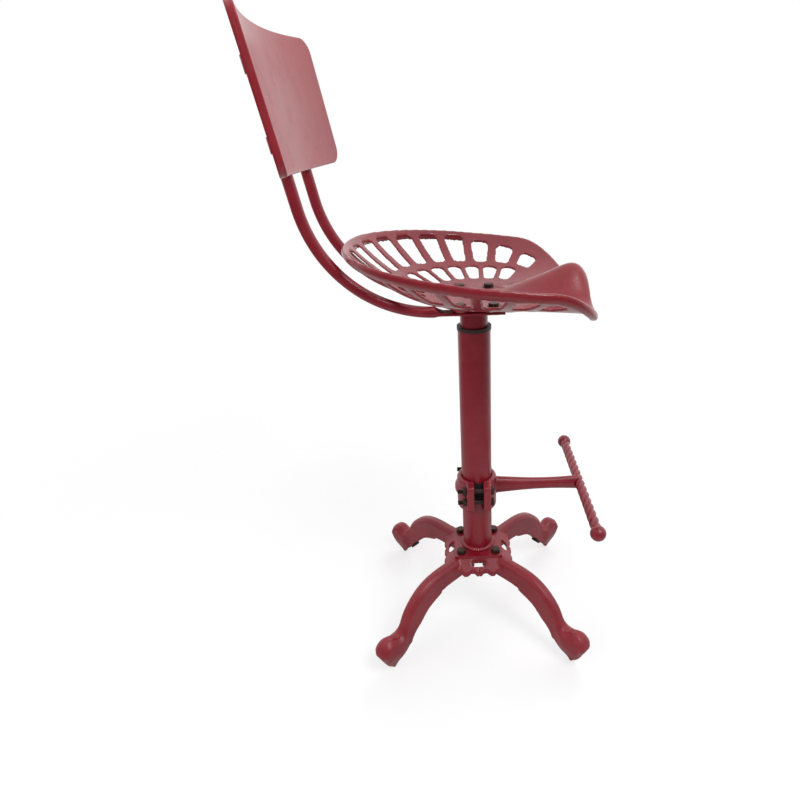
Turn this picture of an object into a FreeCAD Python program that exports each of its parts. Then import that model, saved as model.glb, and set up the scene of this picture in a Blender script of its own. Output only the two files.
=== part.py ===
import FreeCAD, Part
import Sketcher
import math
import os
from FreeCAD import Placement, Rotation, Vector

# Tractor seat stool: a cast seat and a sheet-metal back on a screw post, in a round
# column on four cast legs, with a footrest clamped to the column.
# X points to the front of the seat, Y to the sitter's left, Z up; millimetres.
# The origin is on the floor, on the column's axis.

doc = FreeCAD.newDocument("tractor_seat_stool")
sheet = doc.addObject("Spreadsheet::Sheet", "Sizes")

SIZES = {
    # Four cast legs under the column
    "hub_top": (131.0, "height of the legs' hub face"),
    "hub_half": (42.0, "half width of one leg's square hub"),
    "hub_thick": (12.0, "thickness of the hub"),
    "leg_width": (22.0, "width of a leg casting"),
    "leg_bevel": (6.0, "bevel along the leg's outer edges"),
    "leg_depth": (34.0, "depth of the leg where it leaves the hub"),
    "leg_root": (20.0, "where the leg starts, from the column's axis"),
    "knee_radius": (135.0, "knee, from the column's axis"),
    "knee_height": (124.0, "height of the knee"),
    "shin_radius": (165.0, "end of the knee's curve"),
    "shin_height": (104.0, "height there"),
    "crotch_radius": (199.0, "hollow between shin and toe"),
    "crotch_height": (59.0, "height of that hollow"),
    "toe_radius": (239.0, "tip of the toe, from the column's axis"),
    "toe_height": (50.0, "height of the toe's tip"),
    "toe_top": (69.0, "height of the toe's crown"),
    "heel_radius": (213.0, "outer edge of the foot's flat"),
    "foot_flat": (4.0, "length of the foot's flat"),
    "foot_edge": (7.0, "width of the foot where it meets the floor"),
    "ankle_height": (40.0, "height where the foot has the leg's full width"),
    "arch_radius": (153.0, "middle of the leg's under curve"),
    "arch_height": (61.0, "height of the under curve there"),
    "skirt_reach": (57.0, "how far the web between two legs reaches"),
    "skirt_thick": (7.0, "thickness of the web"),
    "skirt_slope": (42.0, "slope of the web, degrees"),
    "slot_length": (24.0, "opening in each web"),
    "slot_width": (11.0, "its width"),
    "lobe_radius": (11.0, "scallops on the web's edge"),
    "lobe_pitch": (23.0, "distance between scallops"),
    "lobe_rise": (4.0, "how far the scallops stand past the web's edge"),
    "bumper_diameter": (14.0, "rubber bumper under each leg"),
    "bumper_height": (7.0, "its height"),
    "bumper_sunk": (3.0, "how deep it sits in the leg"),
    # Column
    "flange_size": (84.0, "square plate under the column"),
    "flange_thick": (5.0, "its thickness"),
    "flange_corner": (6.0, "its corner radius"),
    "base_bolt_pitch": (60.0, "distance between base bolts"),
    "base_bolt": (8.0, "base bolt shank"),
    "base_head_flats": (13.0, "base bolt head across flats"),
    "base_head": (5.3, "base bolt head height"),
    "base_nut": (6.5, "base nut height"),
    "base_washer": (16.5, "base washer diameter"),
    "washer_thick": (1.6, "thickness of the washers"),
    "bolt_clear": (0.5, "clearance round a bolt"),
    "tube_outer": (50.8, "column tube, two inches"),
    "tube_wall": (2.6, "its wall"),
    "column_top": (538.0, "top of the column tube"),
    "weld_leg": (4.5, "weld fillet round the column"),
    "bushing_rim": (5.5, "height of the bushing's rim"),
    "bushing_rim_outer": (53.0, "diameter of the rim"),
    "bushing_sleeve": (32.0, "sleeve inside the tube"),
    "fit_clear": (0.05, "running clearance, radial"),
    # Screw lift
    "screw_outer": (25.0, "lead screw"),
    "screw_top": (460.0, "its upper end"),
    "anchor_thick": (12.0, "plug that holds the screw"),
    "stop_outer": (34.0, "stop washer on the screw"),
    "stop_thick": (4.0, "its thickness"),
    "post_outer": (42.2, "seat post"),
    "post_wall": (2.6, "its wall"),
    "post_foot": (280.0, "lower end of the post at its lowest"),
    "nut_spigot": (25.0, "part of the lift nut inside the post"),
    "nut_collar": (8.0, "collar of the lift nut"),
    "nut_collar_outer": (44.4, "its diameter"),
    "guide_height": (18.0, "nylon guide ring on the post"),
    "guide_gap": (0.3, "play above and below the guide ring"),
    # Seat and its plate
    "floor_top": (586.0, "top face of the seat's flat floor"),
    "pan_thick": (4.0, "thickness of the seat casting"),
    "strap_thick": (4.0, "flattened end of a back tube"),
    "tube_dip": (4.0, "how far a back tube reaches below its flattened end"),
    "plate_thick": (4.5, "seat plate on the post"),
    "plate_length": (78.0, "seat plate, front to back"),
    "plate_width": (104.0, "seat plate, side to side"),
    "plate_corner": (10.0, "corner radius"),
    "seat_bolt_x": (46.0, "seat bolts, front to back"),
    "seat_bolt_shift": (3.0, "middle of the seat bolts in X"),
    "seat_bolt": (8.0, "seat bolt shank"),
    "seat_head_flats": (13.0, "head across flats"),
    "seat_head": (5.3, "head height"),
    "seat_bolt_fit": (0.05, "play of the seat bolts in their threads, radial"),
    "seat_washer": (19.0, "washer diameter"),
    "spot_face": (21.0, "flat turned round each bolt hole"),
    "spot_rise": (0.2, "its height above the floor's middle"),
    "pad_diameter": (26.0, "pad under the casting at each bolt"),
    "seat_centre": (20.0, "X of the seat's widest line"),
    "seat_back": (204.5, "from there to the back edge"),
    "seat_front": (147.0, "from there to the front edge"),
    "seat_half": (203.0, "half the seat's width"),
    "back_power": (2.2, "squareness of the back outline"),
    "front_power": (3.3, "squareness of the front outline"),
    "dish_power": (2.7, "how late the dish turns up"),
    "rim_share": (0.985, "share of the outline where the rim has its full height"),
    "rim_height": (641.0, "height of the rim beside the front corner"),
    "rim_slope": (0.12, "fall of the rim from back to front"),
    "corner_start": (90.0, "X where the rim starts to fall"),
    "corner_fall": (0.0082, "how fast it falls"),
    "rim_drop": (13.0, "depth of the thickened rim"),
    "rim_wide": (9.5, "width of the thickened rim"),
    "rim_round": (3.0, "rounding of the rim's outer edges"),
    "pommel_height": (50.0, "height of the ridge at the front"),
    "pommel_width": (38.0, "width of the ridge"),
    "pommel_start": (-10.0, "X where the ridge starts"),
    "pommel_crown": (140.0, "X of its crown"),
    "pommel_power": (1.35, "how late the ridge rises"),
    "apron_height": (26.0, "depth of the apron in front of the ridge"),
    "apron_half": (35.0, "half the apron's width"),
    "apron_thick": (12.0, "its thickness"),
    "apron_inset": (0.3, "how far its face lies inside the rim's"),
    "apron_low": (587.0, "height of its lower edge"),
    "hole_pitch": (14.0, "angle between seat holes, degrees"),
    "hole_count": (9.0, "outer holes on each side"),
    "hole_centre": (15.0, "X where the holes' axes meet"),
    "outer_rib": (16.0, "rib between outer holes"),
    "inner_rib": (9.0, "rib between inner holes"),
    "outer_far": (0.945, "outer holes: far end, share of the outline"),
    "hole_shorten": (0.034, "how much of that share each of the foremost holes loses"),
    "outer_near": (0.70, "outer holes: near end"),
    "inner_far": (0.635, "inner holes: far end"),
    "inner_near": (0.455, "inner holes: near end"),
    "hole_corner_far": (7.0, "rounding of a hole's far corners"),
    "hole_corner_near": (5.0, "rounding of its near corners"),
    # Back
    "back_tube_outer": (16.0, "back tube"),
    "back_tube_wall": (1.5, "its wall"),
    "back_tube_y": (56.4, "back tube, from the middle"),
    "strap_width": (23.0, "width of the flattened end"),
    "strap_front": (42.0, "X of the strap's front end"),
    "strap_back": (-45.0, "X where the strap ends"),
    "bend_start": (-57.0, "X where the bend starts"),
    "bend_radius": (176.0, "bend of the back tube"),
    "back_lean": (10.5, "lean of the back, degrees"),
    "tube_rise": (200.0, "straight length above the bend"),
    "panel_width": (343.0, "back panel"),
    "panel_height": (174.0, "its height"),
    "panel_radius": (600.0, "its curve"),
    "panel_sheet": (2.0, "its sheet"),
    "panel_return": (9.5, "depth of its folded edge"),
    "panel_corner": (22.0, "its corner radius"),
    "panel_start": (41.0, "panel's lower edge above the bend"),
    "saddle_wall": (2.0, "strap of a saddle"),
    "saddle_length": (20.0, "its length along the tube"),
    "saddle_foot": (9.0, "each foot of a saddle"),
    "saddle_low": (38.0, "lower saddle above the panel's edge"),
    "saddle_high": (128.0, "upper saddle"),
    "rivet_head": (6.4, "rivet head diameter"),
    "rivet_rise": (1.8, "rivet head height"),
    "cap_rim": (2.0, "rim of the plug in a tube's end"),
    "cap_stem": (8.0, "its stem"),
    # Footrest
    "liner_wall": (1.5, "liner between column and clamp"),
    "liner_gap": (10.0, "slit of the liner"),
    "liner_low": (237.0, "lower edge of the liner"),
    "liner_top": (275.0, "its upper edge"),
    "neck_clear": (0.3, "play between column and clamp, radial"),
    "clamp_low": (219.0, "lower face of the clamp"),
    "clamp_height": (60.0, "its height"),
    "clamp_outer": (66.8, "diameter of the clamp's collar"),
    "clamp_split_rear": (-5.6, "X of the rear half's faces"),
    "clamp_split_front": (10.0, "X of the front half's faces"),
    "ear_thick": (12.4, "thickness of an ear"),
    "ear_reach": (45.0, "reach of the ears in Y"),
    "ear_margin": (10.0, "clamp height below the ears"),
    "ear_margin_top": (1.0, "clamp height above the ears"),
    "clamp_bolt": (8.0, "clamp bolt"),
    "clamp_bolt_y": (35.5, "clamp bolts, from the middle"),
    "clamp_bolt_pitch": (22.0, "between upper and lower bolts"),
    "clamp_bolt_height": (256.0, "middle height of the bolts"),
    "clamp_head_flats": (13.0, "head across flats"),
    "clamp_head": (5.3, "head height"),
    "clamp_nut": (6.8, "nut height"),
    "clamp_thread": (8.5, "thread that stands past the nut"),
    "rib_reach": (4.0, "rib round the rear half"),
    "rib_height": (14.0, "its height"),
    "bar_x": (177.0, "footrest bar, from the column's axis"),
    "bar_height": (256.0, "its height"),
    "bar_diameter": (16.4, "its diameter"),
    "bar_half": (144.0, "middle of each ball, from the middle"),
    "ball_diameter": (24.4, "balls at its ends"),
    "arm_root_z": (16.0, "arm's half height at the clamp"),
    "arm_root_y": (10.5, "arm's half width at the clamp"),
    "arm_mid_z": (10.5, "arm's half height in the middle"),
    "arm_mid_y": (7.5, "arm's half width in the middle"),
    "arm_end_z": (13.0, "arm's half height at the bar"),
    "arm_end_y": (7.5, "arm's half width at the bar"),
}

for row, (alias, (value, note)) in enumerate(SIZES.items(), start=1):
    sheet.set(f"A{row}", alias)
    sheet.set(f"B{row}", str(value))
    sheet.setAlias(f"B{row}", alias)
    sheet.set(f"C{row}", note)
doc.recompute()


def size(alias):
    """The value of one cell of the sheet."""
    return float(sheet.get(alias))


def bind(obj, **expressions):
    """Bind properties of an object to the sheet; PosX, PosY and PosZ place it."""
    for prop, text in expressions.items():
        path = {"PosX": "Placement.Base.x", "PosY": "Placement.Base.y", "PosZ": "Placement.Base.z"}
        obj.setExpression(path.get(prop, prop), text)
    return obj


sub_parts = []


def keep(obj, label):
    """Label an object as a sub-part of its own."""
    obj.Label = label
    sub_parts.append(obj)
    return obj


def cylinder(name, radius, height, z, x="0", y="0"):
    obj = doc.addObject("Part::Cylinder", name)
    return bind(obj, Radius=radius, Height=height, PosX=x, PosY=y, PosZ=z)


def cut(name, base, tool):
    obj = doc.addObject("Part::Cut", name)
    obj.Base = base
    obj.Tool = tool
    return obj


def fuse(name, *shapes):
    obj = doc.addObject("Part::MultiFuse", name)
    obj.Shapes = list(shapes)
    return obj


def group(label, members):
    """Like pieces that share one sub-part, each a solid of its own."""
    obj = doc.addObject("Part::Compound", label)
    obj.Links = members
    return keep(obj, label)


def ring(name, outer, inner, height, z, x="0", y="0"):
    """A turned ring or tube standing on z; outer and inner are diameters."""
    body = cylinder(name + "_outside", f"({outer}) / 2", height, z, x, y)
    bore = cylinder(name + "_bore", f"({inner}) / 2", height, z, x, y)
    return cut(name, body, bore)


def hexagon(name, flats, height, x, y, z, along_x=False):
    """A hexagonal bolt head or nut blank."""
    obj = doc.addObject("Part::Prism", name)
    obj.Polygon = 6
    if along_x:
        obj.Placement = Placement(Vector(), Rotation(Vector(0, 1, 0), 90))
    return bind(obj, Circumradius=f"({flats}) / sqrt(3)", Height=height, PosX=x, PosY=y, PosZ=z)


def shank(name, diameter, length, x, y, z, along_x=False):
    obj = doc.addObject("Part::Cylinder", name)
    if along_x:
        obj.Placement = Placement(Vector(), Rotation(Vector(0, 1, 0), 90))
    return bind(obj, Radius=f"({diameter}) / 2", Height=length, PosX=x, PosY=y, PosZ=z)


def feature(label, shape, placement=None):
    """A casting or bent part whose shape is worked out from the sheet."""
    obj = doc.addObject("Part::Feature", label)
    obj.Shape = shape
    if placement:
        obj.Placement = placement
    return keep(obj, label)


def plate_body(label, length, width, thick, corner, z, shift, holes):
    """A flat plate with rounded corners and round holes, as a PartDesign body."""
    body = doc.addObject("PartDesign::Body", label)
    xy_plane = next(f for f in body.Origin.OriginFeatures if f.Role == "XY_Plane")
    outline = body.newObject("Sketcher::SketchObject", label + "_outline")
    outline.AttachmentSupport = [(xy_plane, "")]
    outline.MapMode = "FlatFace"
    corners = [Vector(-1, -1, 0), Vector(1, -1, 0), Vector(1, 1, 0), Vector(-1, 1, 0)]
    for i in range(4):
        outline.addGeometry(Part.LineSegment(corners[i] * 20, corners[(i + 1) % 4] * 20), False)
    for i in range(4):
        outline.addConstraint(Sketcher.Constraint("Coincident", i, 2, (i + 1) % 4, 1))
    for i, kind in enumerate(("Horizontal", "Vertical", "Horizontal", "Vertical")):
        outline.addConstraint(Sketcher.Constraint(kind, i))
    outline.addConstraint(Sketcher.Constraint("Symmetric", 0, 1, 1, 2, -1, 1))
    across = outline.addConstraint(Sketcher.Constraint("Distance", 0, 40))
    outline.setExpression(f"Constraints[{across}]", length)
    deep = outline.addConstraint(Sketcher.Constraint("Distance", 1, 40))
    outline.setExpression(f"Constraints[{deep}]", width)
    for diameter, x, y in holes:
        hole = outline.addGeometry(Part.Circle(Vector(x[0], y[0], 0), Vector(0, 0, 1), 4), False)
        for kind, text in (("DistanceX", x), ("DistanceY", y)):
            if text[0] == 0:
                axis = -2 if kind == "DistanceX" else -1
                outline.addConstraint(Sketcher.Constraint("PointOnObject", hole, 3, axis))
                continue
            start, end = ((-1, 1), (hole, 3)) if text[0] > 0 else ((hole, 3), (-1, 1))
            place = outline.addConstraint(Sketcher.Constraint(kind, *start, *end, abs(text[0])))
            outline.setExpression(f"Constraints[{place}]", text[1])
        across = outline.addConstraint(Sketcher.Constraint("Diameter", hole, 8))
        outline.setExpression(f"Constraints[{across}]", diameter)
    pad = body.newObject("PartDesign::Pad", label + "_pad")
    pad.Profile = outline
    bind(pad, Length=thick)
    doc.recompute()
    upright = [
        f"Edge{i}"
        for i, edge in enumerate(pad.Shape.Edges, start=1)
        if isinstance(edge.Curve, Part.Line) and abs(edge.tangentAt(edge.FirstParameter).z) > 0.9
    ]
    rounding = body.newObject("PartDesign::Fillet", label + "_corners")
    rounding.Base = (pad, upright)
    bind(rounding, Radius=corner)
    bind(body, PosX=shift, PosZ=z)
    return body


# Legs: one casting for each corner, with half of the web on either side of it.


def leg_arm():
    """The S-shaped arm of a leg, along +X, bevelled along its outer edges."""
    hub_top = size("hub_top")
    under = hub_top - size("leg_depth")
    knee, shin = size("knee_radius"), size("shin_radius")
    crotch, toe = size("crotch_radius"), size("toe_radius")
    low = size("crotch_height")
    start = size("hub_half") * 2
    flat = size("heel_radius") - size("foot_flat")
    upper = [
        (start, hub_top),
        ((start + knee) / 2, hub_top - 1),
        (knee, size("knee_height")),
        (shin, size("shin_height")),
        (shin + (crotch - shin) * 0.5, low + (size("shin_height") - low) * 0.5),
        (crotch - 7, low + 4),
        (crotch, low),
        (crotch + 6, low + 2.5),
        ((crotch + toe) / 2 - 2, size("toe_top")),
        (toe - 6, size("toe_height") + 12),
        (toe, size("toe_height")),
        (toe - 3, size("toe_height") - 13),
    ]
    lower = [
        (flat, 0),
        (flat - 6, 10),
        (flat - 19, 22),
        (flat - 31, 34),
        (flat - 41, 48),
        (size("arch_radius"), size("arch_height")),
        (size("arch_radius") - 22, size("arch_height") + 19),
        (size("arch_radius") - 50, size("arch_height") + 31),
        (size("arch_radius") - 76, under),
    ]
    side = -size("leg_width") / 2

    def curve(points, first, last):
        line = Part.BSplineCurve()
        line.interpolate(
            [Vector(x, side, z) for x, z in points], InitialTangent=first, FinalTangent=last
        )
        return line.toShape()

    def line(first, last):
        return Part.makeLine(Vector(first[0], side, first[1]), Vector(last[0], side, last[1]))

    root = size("leg_root")
    heel = (size("heel_radius"), 0)
    wire = Part.Wire(
        [
            line((root, hub_top), upper[0]),
            curve(upper, Vector(1, 0, 0), Vector(-0.5, 0, -0.87)),
            line(upper[-1], heel),
            line(heel, lower[0]),
            curve(lower, Vector(-0.45, 0, 0.89), Vector(-1, 0, 0.05)),
            line(lower[-1], (root, under)),
            line((root, under), (root, hub_top)),
        ]
    )
    arm = Part.Face(wire).extrude(Vector(0, size("leg_width"), 0))
    outer = []
    for edge in arm.Edges:
        middle = edge.valueAt((edge.FirstParameter + edge.LastParameter) / 2)
        on_side = abs(abs(middle.y) - size("leg_width") / 2) < 0.01
        if on_side and isinstance(edge.Curve, Part.BSplineCurve) and middle.z > size("arch_height") + 30:
            outer.append(edge)
        if on_side and abs(middle.x - (upper[-1][0] + heel[0]) / 2) < 0.5:
            outer.append(edge)
    return arm, outer


def foot_taper():
    """The leg's width as a prism along X: narrow on the floor, full at the ankle."""
    narrow, wide = size("foot_edge") / 2, size("leg_width") / 2 + 1
    ankle, top = size("ankle_height"), size("hub_top") + 20
    start = size("leg_root") - 10
    profile = [(narrow, 0), (wide, ankle), (wide, top), (-wide, top), (-wide, ankle), (-narrow, 0)]
    points = [Vector(start, y, z) for y, z in profile]
    face = Part.Face(Part.makePolygon(points + points[:1]))
    return face.extrude(Vector(size("toe_radius") + 20 - start, 0, 0))


def skirt_half():
    """Half of the web between two legs, for the side that faces +Y."""
    half = size("hub_half")
    reach = size("skirt_reach")
    thick = size("skirt_thick")
    fall = math.tan(math.radians(size("skirt_slope")))
    top = size("hub_top")
    start = half - 4
    end = reach + size("lobe_rise") + 8
    low = top - (end - half) * fall
    section = Part.makePolygon(
        [
            Vector(0, start, top),
            Vector(0, half, top),
            Vector(0, end, low),
            Vector(0, end, low - thick * 1.35),
            Vector(0, half, top - thick * 1.35),
            Vector(0, start, top - thick * 1.35),
            Vector(0, start, top),
        ]
    )
    slab = Part.Face(section).extrude(Vector(half + 6, 0, 0))
    deep = size("leg_depth") + 20
    base = Vector(0, start, top - deep)
    plan = Part.makeBox(half + 6, reach - start, deep + 1, base)
    for k in range(2):
        inside = size("lobe_radius") - size("lobe_rise")
        centre = Vector(size("lobe_pitch") * k, reach - inside, top - deep)
        lobe = Part.makeCylinder(size("lobe_radius"), deep + 1, centre)
        plan = plan.fuse(lobe.common(Part.makeBox(200, 200, deep + 1, Vector(0, 0, top - deep))))
    web = slab.common(plan)
    slot_low = Vector(-1, half - 0.5, top - deep)
    length = size("slot_length") / 2
    wide = size("slot_width")
    slot = Part.makeBox(length - wide / 3 + 1, wide, deep + 2, slot_low)
    end_round = Part.makeCylinder(
        wide / 2, deep + 2, Vector(length - wide / 2, half - 0.5 + wide / 2, top - deep)
    )
    return web.cut(slot.fuse(end_round))


def leg_casting():
    """One whole leg, in the quarter between +X and +Y."""
    arm, outer = leg_arm()
    arm = arm.makeChamfer(size("leg_bevel"), outer).common(foot_taper())
    arm.rotate(Vector(), Vector(0, 0, 1), 45)
    half = size("hub_half")
    top = size("hub_top")
    hub = Part.makeBox(half, half, size("hub_thick"), Vector(0, 0, top - size("hub_thick")))
    web = skirt_half()
    other = web.mirror(Vector(), Vector(1, -1, 0))
    casting = hub.fuse([arm, web, other])
    hole = size("base_bolt_pitch") / 2
    radius = size("base_bolt") / 2 + size("bolt_clear")
    casting = casting.cut(Part.makeCylinder(radius, top, Vector(hole, hole, 1)))
    return casting.removeSplitter()


leg = leg_casting()
for label, turn in (
    ("leg_front_left", 0),
    ("leg_rear_left", 90),
    ("leg_rear_right", 180),
    ("leg_front_right", 270),
):
    feature(label, leg, Placement(Vector(), Rotation(Vector(0, 0, 1), turn)))

# Black rubber bumper under each leg, on the slope behind the foot.

foot_end = size("heel_radius") - size("foot_flat")
slope_top = Vector(foot_end - 41, 0, 48)
slope_foot = Vector(foot_end - 19, 0, 22)
slope = (slope_foot - slope_top).normalize()
away = Vector(slope.z, 0, -slope.x)
bumper_at = (slope_top + slope_foot) * 0.5 - away * size("bumper_sunk")
bumper = Part.makeCylinder(size("bumper_diameter") / 2, size("bumper_height"), bumper_at, away)
bumpers = []
for turn in (45, 135, 225, 315):
    copy = bumper.copy()
    copy.rotate(Vector(), Vector(0, 0, 1), turn)
    bumpers.append(copy)
legs_shape = Part.makeCompound([o.Shape for o in sub_parts])

# Column: flange plate with its weld, tube, base bolts.

half_pitch = "Sizes.base_bolt_pitch / 2"
pitch = size("base_bolt_pitch") / 2
column_foot = "Sizes.hub_top + Sizes.flange_thick"
flange = plate_body(
    "column_flange",
    "Sizes.flange_size",
    "Sizes.flange_size",
    "Sizes.flange_thick",
    "Sizes.flange_corner",
    "Sizes.hub_top",
    "0",
    [
        ("Sizes.base_bolt + 2 * Sizes.bolt_clear", (pitch * sx, half_pitch), (pitch * sy, half_pitch))
        for sx, sy in ((1, 1), (-1, 1), (-1, -1), (1, -1))
    ],
)
keep(flange, "column_flange")

weld_cone = doc.addObject("Part::Cone", "weld_cone")
bind(
    weld_cone,
    Radius1="Sizes.tube_outer / 2 + Sizes.weld_leg",
    Radius2="Sizes.tube_outer / 2 + 0.3",
    Height="Sizes.weld_leg",
    PosZ=column_foot,
)
weld_bore = cylinder("weld_bore", "Sizes.tube_outer / 2", "Sizes.weld_leg", column_foot)
keep(cut("column_weld", weld_cone, weld_bore), "column_weld")

column = ring(
    "column_tube",
    "Sizes.tube_outer",
    "Sizes.tube_outer - 2 * Sizes.tube_wall",
    f"Sizes.column_top - ({column_foot})",
    column_foot,
)
keep(column, "column_tube")


def corner_places(offset_x, offset_y, shift="0"):
    """Expressions of the four corners of a bolt pattern."""
    return [
        (f"{shift} + ({sx}) * ({offset_x})", f"({sy}) * ({offset_y})")
        for sx, sy in ((1, 1), (-1, 1), (-1, -1), (1, -1))
    ]


head_z = f"{column_foot} + Sizes.washer_thick"
leg_under = "Sizes.hub_top - Sizes.leg_depth"
bolts, washers, nuts = [], [], []
for k, (x, y) in enumerate(corner_places(half_pitch, half_pitch)):
    head = hexagon(f"base_head_{k}", "Sizes.base_head_flats", "Sizes.base_head", x, y, head_z)
    tail = f"{leg_under} - Sizes.base_nut - 3"
    stem = shank(f"base_shank_{k}", "Sizes.base_bolt", f"{head_z} + 1 - ({tail})", x, y, tail)
    bolts.append(fuse(f"base_bolt_{k}", head, stem))
    bore = "Sizes.base_bolt + 0.4"
    thick = "Sizes.washer_thick"
    washers.append(ring(f"base_washer_{k}", "Sizes.base_washer", bore, thick, column_foot, x, y))
    nut_z = f"{leg_under} - Sizes.base_nut"
    blank = hexagon(f"base_nut_blank_{k}", "Sizes.base_head_flats", "Sizes.base_nut", x, y, nut_z)
    bore = shank(f"base_nut_bore_{k}", "Sizes.base_bolt + 0.1", "Sizes.base_nut", x, y, nut_z)
    nuts.append(cut(f"base_nut_{k}", blank, bore))
group("base_bolts", bolts)
group("base_washers", washers)
group("base_nuts", nuts)

# Screw lift inside the column.

tube_inner = "Sizes.tube_outer - 2 * Sizes.tube_wall"
anchor = ring("screw_anchor", tube_inner, "Sizes.screw_outer", "Sizes.anchor_thick", column_foot)
keep(anchor, "screw_anchor")
screw = cylinder("lead_screw", "Sizes.screw_outer / 2", f"Sizes.screw_top - ({column_foot})", column_foot)
keep(screw, "lead_screw")
stop = cylinder("screw_stop", "Sizes.stop_outer / 2", "Sizes.stop_thick", "Sizes.screw_top")
keep(stop, "screw_stop")

bushing_bore = "Sizes.post_outer + 2 * Sizes.fit_clear"
rim = ring("bushing_rim", "Sizes.bushing_rim_outer", bushing_bore, "Sizes.bushing_rim", "Sizes.column_top")
sleeve = ring(
    "bushing_sleeve",
    tube_inner,
    bushing_bore,
    "Sizes.bushing_sleeve",
    "Sizes.column_top - Sizes.bushing_sleeve",
)
keep(fuse("column_bushing", rim, sleeve), "column_bushing")

post_inner = "Sizes.post_outer - 2 * Sizes.post_wall"
nut_bore = "Sizes.screw_outer + 2 * Sizes.fit_clear"
spigot = ring("nut_spigot", post_inner, nut_bore, "Sizes.nut_spigot", "Sizes.post_foot")
collar = ring(
    "nut_collar",
    "Sizes.nut_collar_outer",
    nut_bore,
    "Sizes.nut_collar",
    "Sizes.post_foot - Sizes.nut_collar",
)
keep(fuse("lift_nut", spigot, collar), "lift_nut")

guide = ring(
    "post_guide_ring",
    f"{tube_inner} - 2 * Sizes.fit_clear",
    "Sizes.post_outer + 2 * Sizes.fit_clear",
    "Sizes.guide_height",
    "Sizes.post_foot + Sizes.guide_gap",
)
keep(guide, "post_guide_ring")

# Seat post and seat plate. The plate is welded under the straps of the back tubes, and the
# seat is screwed to those straps.

plate_top = "Sizes.floor_top - Sizes.pan_thick - Sizes.strap_thick"
plate_low = f"{plate_top} - Sizes.plate_thick"
post = ring(
    "seat_post", "Sizes.post_outer", post_inner, f"{plate_low} - Sizes.post_foot", "Sizes.post_foot"
)
keep(post, "seat_post")

bolt_y = "Sizes.back_tube_y"
half_x = "Sizes.seat_bolt_x / 2"
plate = plate_body(
    "seat_plate",
    "Sizes.plate_length",
    "Sizes.plate_width",
    "Sizes.plate_thick",
    "Sizes.plate_corner",
    plate_low,
    "Sizes.seat_bolt_shift",
    [],
)
keep(plate, "seat_plate")

# Cast seat: a dish with a ridge at the front, a rolled rim and two rows of holes.


def outline_share(x, y):
    """0 in the middle of the seat, 1 on its outline."""
    dx = x - size("seat_centre")
    power = size("back_power") if dx < 0 else size("front_power")
    reach = size("seat_back") if dx < 0 else size("seat_front")
    return (abs(dx / reach) ** power + abs(y / size("seat_half")) ** power) ** (1 / power)


def rim_height(x):
    past = max(0.0, x - size("corner_start"))
    return (
        size("rim_height") - size("rim_slope") * (x - size("corner_start")) - size("corner_fall") * past**2
    )


def pommel(x, y):
    """Height of the ridge between the sitter's thighs."""
    run = size("pommel_crown") - size("pommel_start")
    rise = min(1.0, max(0.0, (x - size("pommel_start")) / run)) ** size("pommel_power")
    past = max(0.0, x - size("pommel_crown"))
    front = size("seat_centre") + size("seat_front") - size("pommel_crown")
    fall = (past / front) ** 3 * size("pommel_height") * 0.35
    return (size("pommel_height") * rise - fall) * math.exp(-((y / size("pommel_width")) ** 2))


def seat_height(x, y):
    """Height of the casting's upper face."""
    share = outline_share(x, y)
    edge_x = size("seat_centre") + (x - size("seat_centre")) / max(share, 0.05)
    dish = (rim_height(edge_x) - size("floor_top")) * (share / size("rim_share")) ** size("dish_power")
    return size("floor_top") + dish + pommel(x, y)


def seat_edge(inset, count):
    """Points of the outline, drawn in by inset."""
    points = []
    for k in range(count):
        turn = 2 * math.pi * k / count
        back = math.cos(turn) < 0
        power = size("back_power") if back else size("front_power")
        reach = (size("seat_back") if back else size("seat_front")) - inset
        across = math.copysign(abs(math.cos(turn)) ** (2 / power), math.cos(turn))
        side = math.copysign(abs(math.sin(turn)) ** (2 / power), math.sin(turn))
        x = size("seat_centre") + reach * across
        points.append(Vector(x, (size("seat_half") - inset) * side, 0))
    return points


def hole_prism(turn, near, far, rib):
    """A wedge-shaped opening with rounded corners, along one ray of the seat."""
    ray = Vector(-math.cos(turn), math.sin(turn), 0)
    centre = Vector(size("hole_centre"), 0, 0)

    def distance(share):
        low, high = 0.0, 400.0
        for _ in range(40):
            middle = (low + high) / 2
            point = centre + ray * middle
            low, high = (middle, high) if outline_share(point.x, point.y) < share else (low, middle)
        return low

    half_angle = math.radians(size("hole_pitch")) / 2
    start, end = distance(near), distance(far)
    near_half = start * math.tan(half_angle) - rib / 2
    far_half = end * math.tan(half_angle) - rib / 2
    corners = [
        Vector(start, -near_half, 0),
        Vector(end, -far_half, 0),
        Vector(end, far_half, 0),
        Vector(start, near_half, 0),
    ]
    prism = Part.Face(Part.makePolygon(corners + corners[:1])).extrude(Vector(0, 0, 200))
    upright = [e for e in prism.Edges if abs(e.tangentAt(e.FirstParameter).z) > 0.9]
    middle = (start + end) / 2
    outer = [e for e in upright if e.valueAt(e.FirstParameter).x > middle]
    prism = prism.makeFillet(min(size("hole_corner_far"), far_half * 0.98), outer)
    upright = [e for e in prism.Edges if abs(e.valueAt(e.FirstParameter).x - start) < 0.01]
    inner = [
        e
        for e in upright
        if abs(e.tangentAt(e.FirstParameter).z) > 0.9
        and abs(abs(e.valueAt(e.FirstParameter).y) - near_half) < 0.01
    ]
    prism = prism.makeFillet(min(size("hole_corner_near"), near_half * 0.98), inner)
    prism.rotate(Vector(), Vector(0, 0, 1), 180 - math.degrees(turn))
    prism.translate(centre + Vector(0, 0, size("floor_top") - 60))
    return prism


def outline_prism(inset):
    """The seat's outline, drawn in by inset, as an upright prism."""
    edge = Part.BSplineCurve()
    edge.interpolate(seat_edge(inset, 32), PeriodicFlag=True)
    prism = Part.Face(Part.Wire([edge.toShape()])).extrude(Vector(0, 0, 400))
    return prism.translated(Vector(0, 0, size("floor_top") - 150))


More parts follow.
